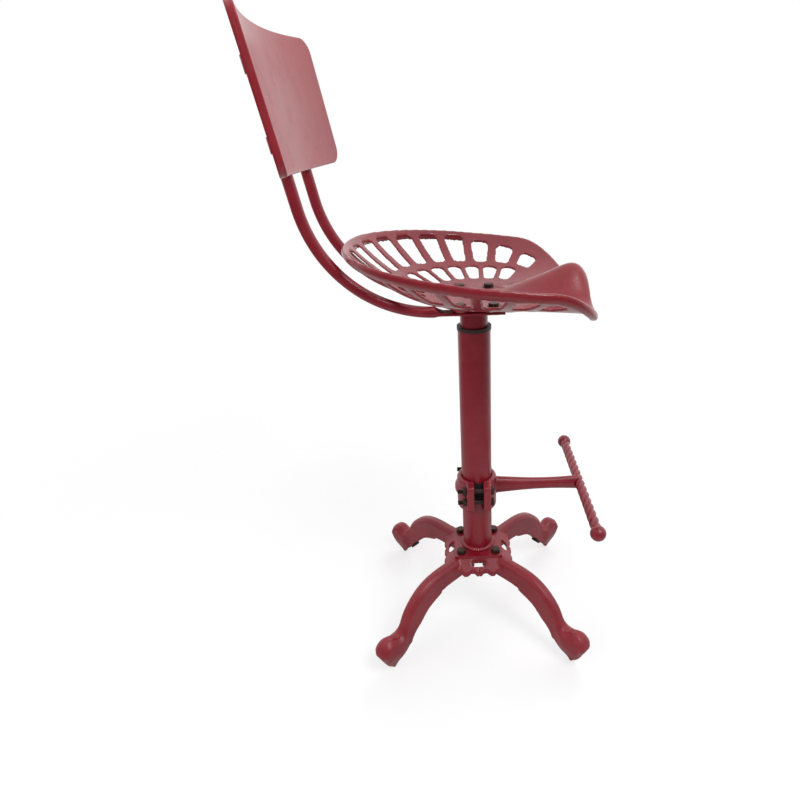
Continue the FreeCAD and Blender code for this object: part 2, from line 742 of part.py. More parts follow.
def seat_casting():
    """The dish, its rim and its holes."""
    rows = 18
    margin = 12
    low_x = size("seat_centre") - size("seat_back") - margin
    high_x = size("seat_centre") + size("seat_front") + margin
    wide = size("seat_half") + margin
    grid = []
    for i in range(rows):
        x = low_x + (high_x - low_x) * i / (rows - 1)
        row = []
        for j in range(rows + 1):
            y = -wide + 2 * wide * j / rows
            row.append(Vector(x, y, seat_height(x, y)))
        grid.append(row)
    surface = Part.BSplineSurface()
    surface.interpolate(grid)
    upper = surface.toShape()
    dish = upper.extrude(Vector(0, 0, -size("rim_drop"))).common(outline_prism(0))
    dish = dish.makeFillet(size("rim_round"), [e for e in dish.Edges if e.Length > 300])
    lower = upper.translated(Vector(0, 0, -size("pan_thick")))
    hollow = lower.extrude(Vector(0, 0, -2 * size("rim_drop")))
    dish = dish.cut(hollow.common(outline_prism(size("rim_wide"))))
    front = size("seat_centre") + size("seat_front") * 0.7
    half = size("apron_half")
    block = Part.makeBox(100, 2 * half, size("apron_height"), Vector(front, -half, size("apron_low")))
    block = block.makeFillet(8, [e for e in block.Edges if abs(e.tangentAt(e.FirstParameter).x) > 0.9])
    under = upper.translated(Vector(0, 0, -size("rim_round") - 1)).extrude(Vector(0, 0, -80))
    apron = outline_prism(size("apron_inset")).cut(outline_prism(size("apron_thick")))
    apron = apron.common(block).common(under)
    dish = dish.fuse(apron)
    tools = []
    pitch_angle = math.radians(size("hole_pitch"))
    count = int(size("hole_count"))
    for k in range(count):
        turn = pitch_angle * (k + 0.5)
        late = max(0, k - (count - 4))
        far = size("outer_far") - size("hole_shorten") * late
        for side in (1, -1):
            tools.append(hole_prism(side * turn, size("outer_near"), far, size("outer_rib")))
    for k in range(1 - count, count):
        tools.append(hole_prism(pitch_angle * k, size("inner_near"), size("inner_far"), size("inner_rib")))
    radius = size("seat_bolt") / 2 + size("bolt_clear")
    under = size("floor_top") - size("pan_thick")
    pads = []
    for sx in (-1, 1):
        for sy in (-1, 1):
            x = size("seat_bolt_shift") + sx * size("seat_bolt_x") / 2
            y = sy * size("back_tube_y")
            pads.append(Part.makeCylinder(size("pad_diameter") / 2, 5, Vector(x, y, under)))
            tools.append(Part.makeCylinder(radius, 120, Vector(x, y, under - 60)))
            face = Vector(x, y, size("floor_top") + size("spot_rise"))
            tools.append(Part.makeCylinder(size("spot_face") / 2, 30, face))
    dish = dish.fuse(pads).cut(tools)
    return dish.removeSplitter()


feature("seat_pan", seat_casting())

# Bolts that hold the seat down, screwed into the straps.

strap_low = "Sizes.floor_top - Sizes.pan_thick - Sizes.strap_thick"
bolts, washers = [], []
for k, (x, y) in enumerate(corner_places(half_x, bolt_y, "Sizes.seat_bolt_shift")):
    face_z = "Sizes.floor_top + Sizes.spot_rise"
    bore = "Sizes.seat_bolt + 0.4"
    thick = "Sizes.washer_thick"
    washers.append(ring(f"seat_washer_{k}", "Sizes.seat_washer", bore, thick, face_z, x, y))
    top_z = f"{face_z} + Sizes.washer_thick"
    head = hexagon(f"seat_head_{k}", "Sizes.seat_head_flats", "Sizes.seat_head", x, y, top_z)
    length = f"{top_z} + 1 - ({strap_low})"
    stem = shank(f"seat_shank_{k}", "Sizes.seat_bolt", length, x, y, strap_low)
    bolts.append(fuse(f"seat_bolt_{k}", head, stem))
group("seat_bolts", bolts)
group("seat_washers", washers)

# Back tubes: a strap under the seat, a long bend behind it, and a straight rise.

lean = math.radians(size("back_lean"))
up_back = Vector(-math.sin(lean), 0, math.cos(lean))
strap_mid = size("floor_top") - size("pan_thick") - size("strap_thick") / 2
tube_radius = size("back_tube_outer") / 2
tube_mid = strap_mid - size("strap_thick") / 2 - size("tube_dip") + tube_radius
bend_centre = Vector(size("bend_start"), 0, tube_mid + size("bend_radius"))


def on_bend(angle):
    """A point of the bend, at an angle from straight down."""
    reach = size("bend_radius")
    return bend_centre + Vector(-reach * math.sin(angle), 0, -reach * math.cos(angle))


bend_end = on_bend(math.pi / 2 - lean)
tube_end = bend_end + up_back * size("tube_rise")


def back_tube():
    """One back tube in the plane y = 0."""
    start = Vector(size("bend_start"), 0, tube_mid)
    middle = on_bend((math.pi / 2 - lean) / 2)
    arc = Part.Arc(start, middle, bend_end).toShape()
    path = Part.Wire([arc, Part.makeLine(bend_end, tube_end)])
    ahead = Vector(-1, 0, 0)

    def sweep(radius):
        profile = Part.Wire([Part.makeCircle(radius, start, ahead)])
        return path.makePipeShell([profile], True, True)

    tube = sweep(tube_radius).cut(sweep(tube_radius - size("back_tube_wall")))
    thick, wide = size("strap_thick"), size("strap_width")
    strap_end = size("strap_back")

    def flat_end(x):
        side = wide / 2 - thick / 2
        up, down = strap_mid + thick / 2, strap_mid - thick / 2
        left = [Vector(x, side, up), Vector(x, wide / 2, strap_mid), Vector(x, side, down)]
        right = [Vector(x, -side, down), Vector(x, -wide / 2, strap_mid), Vector(x, -side, up)]
        return Part.Wire(
            [
                Part.makeLine(right[2], left[0]),
                Part.Arc(*left).toShape(),
                Part.makeLine(left[2], right[0]),
                Part.Arc(*right).toShape(),
            ]
        )

    def round_end(x):
        spots = [Vector(x, tube_radius * math.sin(a), tube_mid + tube_radius * math.cos(a))
                 for a in (math.radians(d) for d in (-45, 0, 45, 90, 135, 180, 225, 270))]
        return Part.Wire(
            [Part.Arc(spots[k], spots[k + 1], spots[(k + 2) % 8]).toShape() for k in (0, 2, 4, 6)]
        )

    neck = Part.makeLoft([flat_end(strap_end), round_end(size("bend_start"))], True, True)
    strap = Part.Face(flat_end(strap_end)).extrude(Vector(size("strap_front") - strap_end, 0, 0))
    whole = tube.fuse([neck, strap])
    radius = size("seat_bolt") / 2 + size("seat_bolt_fit")
    for sx in (-1, 1):
        x = size("seat_bolt_shift") + sx * size("seat_bolt_x") / 2
        whole = whole.cut(Part.makeCylinder(radius, 30, Vector(x, 0, strap_mid - 15)))
    return whole


tube_shape = back_tube()
feature("back_tube_left", tube_shape, Placement(Vector(0, size("back_tube_y"), 0), Rotation()))
feature("back_tube_right", tube_shape, Placement(Vector(0, -size("back_tube_y"), 0), Rotation()))

plug = Part.makeCylinder(tube_radius, size("cap_rim"), tube_end, up_back)
bore = tube_radius - size("back_tube_wall")
plug = plug.fuse(Part.makeCylinder(bore, size("cap_stem"), tube_end - up_back * size("cap_stem"), up_back))
plugs = []
for side in (1, -1):
    copy = plug.copy()
    copy.translate(Vector(0, side * size("back_tube_y"), 0))
    plugs.append(copy)
feature("tube_caps", Part.makeCompound(plugs))

# Back panel: sheet bent to a wide curve, its edge folded back, carried on saddles.
# Its own frame has Z up the panel, X out of its front face and the origin at the
# middle of its lower edge.

front_radius = size("panel_radius")
tube_y = size("back_tube_y")
sheet_back = front_radius + size("panel_sheet")
back_at_tube = front_radius - math.sqrt(sheet_back**2 - tube_y**2)
saddle_gap = 0.3
panel_gap = 0.02
tube_depth = back_at_tube - saddle_gap - tube_radius
panel_tilt = Rotation(Vector(0, 1, 0), -size("back_lean"))
panel_normal = panel_tilt.multVec(Vector(1, 0, 0))
panel_origin = bend_end + up_back * size("panel_start") - panel_normal * tube_depth
panel_place = Placement(panel_origin, panel_tilt)


def curved_slab(inner, outer):
    tall = size("panel_height")
    centre = Vector(front_radius, 0, 0)
    return Part.makeCylinder(outer, tall, centre).cut(Part.makeCylinder(inner, tall, centre))


def rounded_prism(inset):
    """The panel's outline from the front, as a prism along X."""
    half = size("panel_width") / 2 - inset
    tall = size("panel_height") - 2 * inset
    box = Part.makeBox(300, 2 * half, tall, Vector(-150, -half, inset))
    edges = [e for e in box.Edges if abs(e.tangentAt(e.FirstParameter).x) > 0.9]
    return box.makeFillet(size("panel_corner") - inset, edges)


def panel_shape():
    face = curved_slab(front_radius, sheet_back).common(rounded_prism(0))
    frame = rounded_prism(0).cut(rounded_prism(size("panel_sheet")))
    fold = curved_slab(front_radius, front_radius + size("panel_return")).common(frame)
    panel = face.fuse(fold)
    for side in (1, -1):
        notch = Part.makeCylinder(tube_radius + 1, 12, Vector(tube_depth, side * tube_y, -6))
        panel = panel.cut(notch.cut(curved_slab(front_radius - 5, sheet_back)))
    return panel.removeSplitter()


feature("back_panel", panel_shape(), panel_place)


def saddle(height):
    """A strap bent round the tube, in the panel's frame."""
    wall = size("saddle_wall")
    length = size("saddle_length")
    base = Vector(tube_depth, tube_y, height - length / 2)
    outer = Part.makeCylinder(tube_radius + saddle_gap + wall, length, base)
    foot = size("saddle_foot") + tube_radius + wall
    corner = Vector(tube_depth + tube_radius - wall, tube_y - foot, height - length / 2)
    feet = Part.makeBox(wall, 2 * foot, length, corner)
    strap = outer.fuse(feet)
    strap = strap.cut(Part.makeCylinder(tube_radius + saddle_gap / 3, length, base))
    axis = Vector(front_radius, 0, height - length / 2)
    return strap.cut(Part.makeCylinder(sheet_back + panel_gap, length, axis))


def rivet(height, side):
    """A domed rivet on one foot of a saddle."""
    wall = size("saddle_wall")
    y = tube_y + side * (tube_radius + wall + size("saddle_foot") / 2)
    x = tube_depth + tube_radius - wall
    rise = size("rivet_rise")
    radius = size("rivet_head") / 2
    ball = (radius**2 + rise**2) / (2 * rise)
    dome = Part.makeSphere(ball, Vector(x - rise + ball, y, height))
    corner = Vector(x - rise, y - radius, height - radius)
    return dome.common(Part.makeBox(rise, 2 * radius, 2 * radius, corner))


saddles, rivets = [], []
for height in (size("saddle_low"), size("saddle_high")):
    strap = saddle(height)
    pair = [rivet(height, side) for side in (1, -1)]
    for solids, made in ((saddles, [strap]), (rivets, pair)):
        for piece in made:
            solids.append(piece)
            solids.append(piece.mirror(Vector(), Vector(0, 1, 0)))
feature("panel_saddles", Part.makeCompound(saddles), panel_place)
feature("saddle_rivets", Part.makeCompound(rivets), panel_place)

# Footrest: a split clamp round a liner, an arm and a cross bar with ball ends.

clamp_low, clamp_tall = size("clamp_low"), size("clamp_height")
liner_outer = size("tube_outer") / 2 + size("fit_clear") + size("liner_wall")
liner_solid = ring(
    "liner_ring",
    "Sizes.tube_outer + 2 * Sizes.fit_clear + 2 * Sizes.liner_wall",
    "Sizes.tube_outer + 2 * Sizes.fit_clear",
    "Sizes.liner_top - Sizes.liner_low",
    "Sizes.liner_low",
)
slit = doc.addObject("Part::Box", "liner_slit")
bind(
    slit,
    Length="Sizes.tube_outer",
    Width="Sizes.liner_gap",
    Height="Sizes.liner_top - Sizes.liner_low",
    PosX="-Sizes.tube_outer",
    PosY="-Sizes.liner_gap / 2",
    PosZ="Sizes.liner_low",
)
keep(cut("clamp_liner", liner_solid, slit), "clamp_liner")

clamp_bore = liner_outer + size("fit_clear")
neck_bore = size("tube_outer") / 2 + size("neck_clear")
groove_low = size("liner_low") - size("fit_clear")
groove_tall = size("liner_top") + size("fit_clear") - groove_low
core = Part.makeCylinder(neck_bore, clamp_tall + 2, Vector(0, 0, clamp_low - 1))
core = core.fuse(Part.makeCylinder(clamp_bore, groove_tall, Vector(0, 0, groove_low)))


def clamp_half(front):
    """Half a collar with its two ears, split across X."""
    radius = size("clamp_outer") / 2
    collar = Part.makeCylinder(radius, clamp_tall, Vector(0, 0, clamp_low))
    edges = [e for e in collar.Edges if isinstance(e.Curve, Part.Circle)]
    collar = collar.makeChamfer(2.5, edges)
    thick = size("ear_thick")
    reach = size("ear_reach")
    ear_low = clamp_low + size("ear_margin")
    ear_tall = clamp_tall - size("ear_margin") - size("ear_margin_top")
    split = size("clamp_split_front") if front else size("clamp_split_rear")
    low_x = split if front else split - thick
    ears = Part.makeBox(thick, 2 * reach, ear_tall, Vector(low_x, -reach, ear_low))
    corners = [e for e in ears.Edges if abs(e.tangentAt(e.FirstParameter).x) > 0.9]
    ears = ears.makeFillet(7, corners)
    half = collar.fuse(ears)
    keep_from = split if front else -200
    deep = 200 if front else 200 + split
    side = Part.makeBox(deep, 200, 200, Vector(keep_from, -100, clamp_low - 20))
    half = half.common(side)
    half = half.cut(core)
    radius = size("clamp_bolt") / 2 + size("bolt_clear")
    for sy in (-1, 1):
        for sz in (-1, 1):
            z = size("clamp_bolt_height") + sz * size("clamp_bolt_pitch") / 2
            place = Vector(-100, sy * size("clamp_bolt_y"), z)
            half = half.cut(Part.makeCylinder(radius, 200, place, Vector(1, 0, 0)))
    return half


def ellipse_wire(x, half_y, half_z, z):
    """An upright oval across X."""
    tall = Part.Ellipse(Vector(x, 0, z + half_z), Vector(x, half_y, z), Vector(x, 0, z))
    return Part.Wire([tall.toShape()])


def footrest_arm():
    """The oval arm from the collar to the bar, waisted in the middle."""
    z = size("bar_height")
    start = size("clamp_outer") / 2 - 4
    end = size("bar_x")
    sections = []
    for share, half_y, half_z in (
        (0.0, size("arm_root_y"), size("arm_root_z")),
        (0.25, size("arm_mid_y") + 1.2, size("arm_mid_z") + 2.4),
        (0.55, size("arm_mid_y"), size("arm_mid_z")),
        (0.8, size("arm_mid_y"), size("arm_mid_z") + 0.6),
        (1.0, size("arm_end_y"), size("arm_end_z")),
    ):
        sections.append(ellipse_wire(start + share * (end - start), half_y, half_z, z))
    arm = Part.makeLoft(sections, True, False)
    wide = size("ear_reach")
    bar = Part.makeCylinder(size("bar_diameter") / 2, 2 * wide, Vector(end, -wide, z), Vector(0, 1, 0))
    return arm.cut(bar)


front_half = clamp_half(True).fuse(footrest_arm())
feature("clamp_front", front_half.cut(core).removeSplitter())

rear = clamp_half(False)
rib_mid = size("bar_height")
rib_outer = size("clamp_outer") / 2 + size("rib_reach")
rib = Part.makeCylinder(rib_outer, size("rib_height"), Vector(0, 0, rib_mid - size("rib_height") / 2))
rib = rib.makeFillet(3.5, [e for e in rib.Edges if isinstance(e.Curve, Part.Circle)])
rib_from = size("clamp_split_rear") - size("ear_thick")
behind = Part.makeBox(100, 60, 200, Vector(rib_from - 100, -30, clamp_low - 20))
rear = rear.fuse(rib.common(behind)).cut(core)
feature("clamp_rear", rear.removeSplitter())

bar_axis = Vector(0, 1, 0)
bar = Part.makeCylinder(
    size("bar_diameter") / 2,
    2 * size("bar_half"),
    Vector(size("bar_x"), -size("bar_half"), size("bar_height")),
    bar_axis,
)
for side in (-1, 1):
    ball_at = Vector(size("bar_x"), side * size("bar_half"), size("bar_height"))
    bar = bar.fuse(Part.makeSphere(size("ball_diameter") / 2, ball_at))
feature("footrest_bar", bar)

bolts, nuts = [], []
front_face = "Sizes.clamp_split_front + Sizes.ear_thick"
rear_face = "Sizes.clamp_split_rear - Sizes.ear_thick"
for k, (sy, sz) in enumerate(((1, 1), (-1, 1), (-1, -1), (1, -1))):
    y = f"({sy}) * Sizes.clamp_bolt_y"
    z = f"Sizes.clamp_bolt_height + ({sz}) * Sizes.clamp_bolt_pitch / 2"
    head = hexagon(f"clamp_head_{k}", "Sizes.clamp_head_flats", "Sizes.clamp_head", front_face, y, z, True)
    tail = f"{rear_face} - Sizes.clamp_nut - Sizes.clamp_thread"
    stem = shank(f"clamp_shank_{k}", "Sizes.clamp_bolt", f"{front_face} + 1 - ({tail})", tail, y, z, True)
    bolts.append(fuse(f"clamp_bolt_{k}", head, stem))
    nut_x = f"{rear_face} - Sizes.clamp_nut"
    blank = hexagon(f"clamp_nut_blank_{k}", "Sizes.clamp_head_flats", "Sizes.clamp_nut", nut_x, y, z, True)
    bore = shank(f"clamp_nut_bore_{k}", "Sizes.clamp_bolt + 0.1", "Sizes.clamp_nut", nut_x, y, z, True)
    nuts.append(cut(f"clamp_nut_{k}", blank, bore))
group("clamp_bolts", bolts)
group("clamp_nuts", nuts)

# Bumpers last, trimmed to the legs that carry them.

feature("leg_bumpers", Part.makeCompound([b.cut(legs_shape) for b in bumpers]))

doc.recompute()

# Every object has to be sound before anything is written.

for obj in doc.Objects:
    if "Invalid" in obj.State or "Error" in obj.State:
        raise RuntimeError(f"{obj.Name} could not be made: {obj.State}")
for obj in sub_parts:
    if obj.Shape.isNull() or not obj.Shape.isValid() or not obj.Shape.Solids:
        raise RuntimeError(f"{obj.Label} has no valid solid")

os.makedirs("parts", exist_ok=True)
for obj in sub_parts:
    obj.Shape.exportStep(f"parts/{obj.Label}.step")
    box = obj.Shape.BoundBox
    print(
        f"{obj.Label:20s} {len(obj.Shape.Solids):2d} solids {obj.Shape.Volume / 1000:9.2f} cm3 "
        f"x {box.XMin:7.1f} {box.XMax:7.1f} y {box.YMin:7.1f} {box.YMax:7.1f} "
        f"z {box.ZMin:7.1f} {box.ZMax:7.1f}"
    )
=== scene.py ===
import math

import bmesh
import bpy
from mathutils import Matrix, Vector


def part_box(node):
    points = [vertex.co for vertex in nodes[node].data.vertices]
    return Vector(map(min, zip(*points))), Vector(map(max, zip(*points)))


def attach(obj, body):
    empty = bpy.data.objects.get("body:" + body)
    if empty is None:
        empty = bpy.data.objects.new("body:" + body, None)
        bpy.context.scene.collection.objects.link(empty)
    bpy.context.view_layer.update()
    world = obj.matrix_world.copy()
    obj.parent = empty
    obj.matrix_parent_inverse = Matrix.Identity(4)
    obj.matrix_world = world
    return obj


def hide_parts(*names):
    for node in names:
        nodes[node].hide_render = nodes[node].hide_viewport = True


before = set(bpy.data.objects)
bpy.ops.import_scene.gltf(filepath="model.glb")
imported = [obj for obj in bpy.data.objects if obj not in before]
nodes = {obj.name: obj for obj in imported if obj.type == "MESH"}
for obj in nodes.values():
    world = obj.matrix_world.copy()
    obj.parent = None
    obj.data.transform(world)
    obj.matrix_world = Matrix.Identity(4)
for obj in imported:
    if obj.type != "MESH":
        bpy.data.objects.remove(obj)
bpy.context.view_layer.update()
scene = bpy.context.scene

# The stool stands on a pale floor that fades into a white surround. The camera stands at the
# stool's right side, somewhat above the seat, and looks down at it.

CAMERA_PLACE = Vector((-0.02981, -0.86213, 0.81718))
CAMERA_YAW, CAMERA_PITCH, CAMERA_ROLL = 0.0094, 0.4350, -0.0278
FOCAL_PIXELS, PICTURE, SENSOR_WIDTH = 589.35, 800, 36
CENTRE_X, CENTRE_Y = 461.83, 401.02

ahead = Vector((
    math.sin(CAMERA_YAW) * math.cos(CAMERA_PITCH),
    math.cos(CAMERA_YAW) * math.cos(CAMERA_PITCH),
    -math.sin(CAMERA_PITCH),
))
level = Vector((math.cos(CAMERA_YAW), -math.sin(CAMERA_YAW), 0))
upright = level.cross(ahead)
right = level * math.cos(CAMERA_ROLL) + upright * math.sin(CAMERA_ROLL)
up = upright * math.cos(CAMERA_ROLL) - level * math.sin(CAMERA_ROLL)
turn = Matrix((right, up, -ahead)).transposed()

camera = bpy.data.objects.new("camera", bpy.data.cameras.new("camera"))
scene.collection.objects.link(camera)
camera.matrix_world = Matrix.Translation(CAMERA_PLACE) @ turn.to_4x4()
camera.data.sensor_width = SENSOR_WIDTH
camera.data.lens = FOCAL_PIXELS * SENSOR_WIDTH / PICTURE
camera.data.shift_x = (PICTURE / 2 - CENTRE_X) / PICTURE
camera.data.shift_y = (CENTRE_Y - PICTURE / 2) / PICTURE
camera.data.clip_start = 0.02
scene.camera = camera
scene.view_settings.view_transform = "Standard"


def soft_light(name, place, target, width, watts, mirrored):
    """A round lamp aimed at the stool, which its enamel mirrors or not."""
    lamp = bpy.data.lights.new(name, "AREA")
    lamp.shape = "DISK"
    lamp.size = width
    lamp.energy = watts
    holder = bpy.data.objects.new(name, lamp)
    holder.visible_glossy = mirrored
    scene.collection.objects.link(holder)
    aim = Vector(target) - Vector(place)
    aimed = aim.to_track_quat("-Z", "Y").to_matrix().to_4x4()
    holder.matrix_world = Matrix.Translation(place) @ aimed


soft_light("key_light", (1.1, -1.3, 2.6), (0, 0, 0.5), width=1.2, watts=34, mirrored=True)
soft_light("fill_light", (-1.9, -1.5, 1.4), (0, 0, 0.5), width=1.6, watts=18, mirrored=False)
soft_light("back_light", (1.0, 2.0, 1.9), (-0.1, 0, 0.7), width=1.6, watts=26, mirrored=False)


class Amount:
    """A number that changes over a surface, so that shader sums read as plain sums."""

    def __init__(self, finish, socket):
        self.finish = finish
        self.socket = socket

    def combine(self, operation, first, second):
        return self.finish.node("ShaderNodeMath", {"operation": operation}, {0: first, 1: second})

    def __add__(self, other):
        return self.combine("ADD", self, other)

    def __sub__(self, other):
        return self.combine("SUBTRACT", self, other)

    def __mul__(self, other):
        return self.combine("MULTIPLY", self, other)

    def __truediv__(self, other):
        return self.combine("DIVIDE", self, other)

    def __rsub__(self, other):
        return self.combine("SUBTRACT", other, self)

    __radd__ = __add__
    __rmul__ = __mul__


def opaque(colour):
    """Add a full alpha to a plain colour, and pass a shader value on as it is."""
    return (*colour, 1) if isinstance(colour, tuple) else colour


class Finish:
    """A material and the nodes that make it."""

    def __init__(self, name):
        self.material = bpy.data.materials.new(name)
        self.material.use_nodes = True
        self.tree = self.material.node_tree
        self.shader = self.tree.nodes["Principled BSDF"]
        self.place = self.node("ShaderNodeTexCoord", output="Object").socket

    def link(self, value, socket):
        """Join a shader value to a socket, or set the socket to a plain value."""
        if isinstance(value, Amount):
            value = value.socket
        if isinstance(value, bpy.types.NodeSocket):
            self.tree.links.new(value, socket)
        else:
            socket.default_value = value

    def node(self, kind, settings=None, sockets=None, output=0):
        """Add a node: its settings come first, then its sockets' values or links."""
        made = self.tree.nodes.new(kind)
        for key, value in (settings or {}).items():
            if key == "stops":
                ramp = made.color_ramp.elements
                while len(ramp) < len(value):
                    ramp.new(0.5)
                for stop, (at, shade) in zip(ramp, value):
                    stop.position = at
                    stop.color = (shade, shade, shade, 1)
            else:
                setattr(made, key, value)
        for key, value in (sockets or {}).items():
            self.link(value, made.inputs[key])
        return Amount(self, made.outputs[output])

    def noise(self, scale, detail=3, rough=0.5):
        sockets = {"Vector": self.place, "Scale": scale, "Detail": detail, "Roughness": rough}
        return self.node("ShaderNodeTexNoise", None, sockets)

    def ramp(self, value, *stops):
        """A ramp whose stops are pairs of a place and a grey level."""
        return self.node("ShaderNodeValToRGB", {"stops": stops}, {"Fac": value})

    def blend(self, share, first, second):
        """Mix two colours. A Mix node keeps its colour sockets at inputs 6 and 7, output 2."""
        first, second = opaque(first), opaque(second)
        sockets = {0: share, 6: first, 7: second}
        return self.node("ShaderNodeMix", {"data_type": "RGBA"}, sockets, output=2)

    def height(self):
        """Height above the floor, in metres."""
        return self.node("ShaderNodeSeparateXYZ", None, {0: self.place}, output=2)

    def bump(self, value, strength, distance, normal=None):
        sockets = {"Strength": strength, "Distance": distance, "Height": value}
        if normal:
            sockets["Normal"] = normal
        return self.node("ShaderNodeBump", None, sockets)

    def surface(self, **sockets):
        """Fill the shader's sockets and give back the finished material."""
        names = {
            "colour": "Base Color", "roughness": "Roughness", "metallic": "Metallic",
            "normal": "Normal", "specular": "Specular IOR Level",
        }
        for key, value in sockets.items():
            self.link(value, self.shader.inputs[names[key]])
        return self.material


ground = Finish("pale_floor")
FLOOR_REACH, FADE_START, FADE_END = 3.0, 0.16, 0.45
FLOOR_SEEN, FLOOR_BOUNCE, FLOOR_WHITE = (0.955, 0.955, 0.955), (0.60, 0.60, 0.60), 0.62
across = ground.node("ShaderNodeVectorMath", {"operation": "LENGTH"}, {0: ground.place}, output=1)
fade = ground.ramp(across / FLOOR_REACH, (FADE_START, 0.0), (FADE_END, 1.0))
clear = ground.node("ShaderNodeBsdfTransparent")
to_camera = ground.node("ShaderNodeLightPath")
grey = ground.blend(to_camera, FLOOR_BOUNCE, FLOOR_SEEN)
ground.surface(colour=grey, roughness=0.7, specular=0.1)
white = ground.node("ShaderNodeEmission")
pale = ground.node(
    "ShaderNodeMixShader", None, {0: to_camera * FLOOR_WHITE, 1: ground.shader.outputs[0], 2: white}
)
mixed = ground.node("ShaderNodeMixShader", None, {0: fade, 1: pale, 2: clear})
ground.link(mixed, ground.tree.nodes["Material Output"].inputs["Surface"])

floor_bm = bmesh.new()
bmesh.ops.create_circle(floor_bm, cap_ends=True, segments=96, radius=FLOOR_REACH)
floor_mesh = bpy.data.meshes.new("floor")
floor_bm.to_mesh(floor_mesh)
floor_bm.free()
floor = bpy.data.objects.new("floor", floor_mesh)
scene.collection.objects.link(floor)
floor_mesh.materials.append(ground.material)

# The surround is white where the camera sees it. What the enamel mirrors is darker on the
# camera's side, as a room behind a photographer is, and brightest above and behind the stool.

DIFFUSE_LEVEL = 0.62
MIRROR_DARK, MIRROR_BRIGHT = 0.12, 1.32
BRIGHT_SIDE, DARK_UNTIL, BRIGHT_FROM = (0.15, 0.78, 0.60), -0.40, 0.70


class Surround(Finish):
    """The world's own nodes, written in the same way as a finish."""

    def __init__(self, name):
        scene.world = bpy.data.worlds.new(name)
        scene.world.use_nodes = True
        self.tree = scene.world.node_tree
        self.shader = self.tree.nodes["Background"]


room = Surround("surround")
view = room.node("ShaderNodeTexCoord")
side = room.node(
    "ShaderNodeVectorMath", {"operation": "DOT_PRODUCT"}, {0: view, 1: BRIGHT_SIDE}, output=1
)
mirror = room.node("ShaderNodeMapRange", {"interpolation_type": "SMOOTHSTEP"}, {
    "Value": side, "From Min": DARK_UNTIL, "From Max": BRIGHT_FROM,
    "To Min": MIRROR_DARK, "To Max": MIRROR_BRIGHT,
})
seen = room.node("ShaderNodeLightPath", output="Is Camera Ray")
glossy = room.node("ShaderNodeLightPath", output="Is Glossy Ray")
unseen = glossy * mirror + (1 - glossy) * DIFFUSE_LEVEL
room.link((1, 1, 1, 1), room.shader.inputs["Color"])
room.link(seen + (1 - seen) * unseen, room.shader.inputs["Strength"])

# The four legs are sand castings in red enamel. Each S-shaped arm ends in a hoof, and each
# carries half of the scalloped web on either side. The hub squares meet under the column.

LEG_VOXEL, LEG_ROUNDING = 0.0015, 4


def settle(piece):
    """Turn a piece's modifiers into plain mesh, shaded smooth."""
    bpy.context.view_layer.update()
    done = piece.evaluated_get(bpy.context.evaluated_depsgraph_get())
    mesh = bpy.data.meshes.new_from_object(done)
    piece.modifiers.clear()
    piece.data = mesh
    mesh.shade_smooth()


def new_piece(name, bm, material, body, node):
    """Make an object of a finished bmesh, which rides on a body and stands for a CAD node."""
    mesh = bpy.data.meshes.new(name)
    bm.to_mesh(mesh)
    bm.free()
    piece = bpy.data.objects.new(name, mesh)
    scene.collection.objects.link(piece)
    mesh.materials.append(material)
    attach(piece, body)
    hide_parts(node)
    return piece


def solid_of(node):
    """A copy of a CAD solid as a bmesh, with its loose triangles joined."""
    bm = bmesh.new()
    bm.from_mesh(nodes[node].data)
    bmesh.ops.remove_doubles(bm, verts=bm.verts, dist=2e-6)
    return bm


def soften(piece, voxel, rounds):
    """The soft edges that a sand mould and thick enamel leave."""
    remesh = piece.modifiers.new("skin", "REMESH")
    remesh.mode = "VOXEL"
    remesh.voxel_size = voxel
    smooth = piece.modifiers.new("soft_edges", "SMOOTH")
    smooth.factor = 0.5
    smooth.iterations = rounds
    settle(piece)


# The last of these is the lighter red of the edges: part wear, part painted highlight.
BRICK_TINT, DUSTY_RED, WORN_AND_SHEEN_RED = (0.98, 2.6, 1.5), (0.36, 0.070, 0.075), (0.34, 0.085, 0.075)


def enamel(name, deep, bright, rough, grain, wear_and_sheen=0.0):
    """Red enamel: cloudy tone, brick and dusty patches, and the grain of what lies under it.

    Where it is worn, the edges show a duller, lighter red, more so near the floor. This lighter
    edge red is also a painted highlight along the edges.
    """
    paint = Finish(name)
    cloud = paint.noise(9, 4, 0.6)
    fleck = paint.noise(170, 3, 0.6)
    dust = paint.ramp(paint.noise(30, 6, 0.7), (0.50, 0.0), (0.74, 1.0))
    tone = paint.ramp(cloud * 0.7 + fleck * 0.3, (0.34, 0.0), (0.66, 1.0))
    colour = paint.blend(tone, deep, bright)
    brick = paint.ramp(paint.noise(16, 5, 0.65), (0.46, 0.0), (0.68, 1.0))
    brick_red = tuple(level * tint for level, tint in zip(bright, BRICK_TINT))
    colour = paint.blend(brick * 0.45, colour, brick_red)
    colour = paint.blend(dust * 0.10, colour, DUSTY_RED)
    if wear_and_sheen:
        # Convex edges are painted a lighter red: partly wear, partly a painted highlight along the
        # edges.
        bend = paint.node("ShaderNodeNewGeometry", output="Pointiness")
        edge = paint.ramp(bend, (0.515, 0.0), (0.60, 1.0))
        low = paint.ramp(paint.height() * 10, (0.25, 1.0), (0.95, 0.35))
        chips = paint.ramp(paint.noise(75, 5, 0.65), (0.42, 0.0), (0.60, 1.0))
        colour = paint.blend(edge * low * chips * wear_and_sheen, colour, WORN_AND_SHEEN_RED)
    sand = paint.noise(420, 4, 0.6)
    peel = paint.noise(95, 2, 0.5)
    rolled = paint.bump(peel, grain * 0.6, 0.0012)
    normal = paint.bump(sand, grain, 0.0006, rolled)
    roughness = rough + cloud * 0.12 + dust * 0.10 - 0.07
    return paint.surface(colour=colour, roughness=roughness, normal=normal)


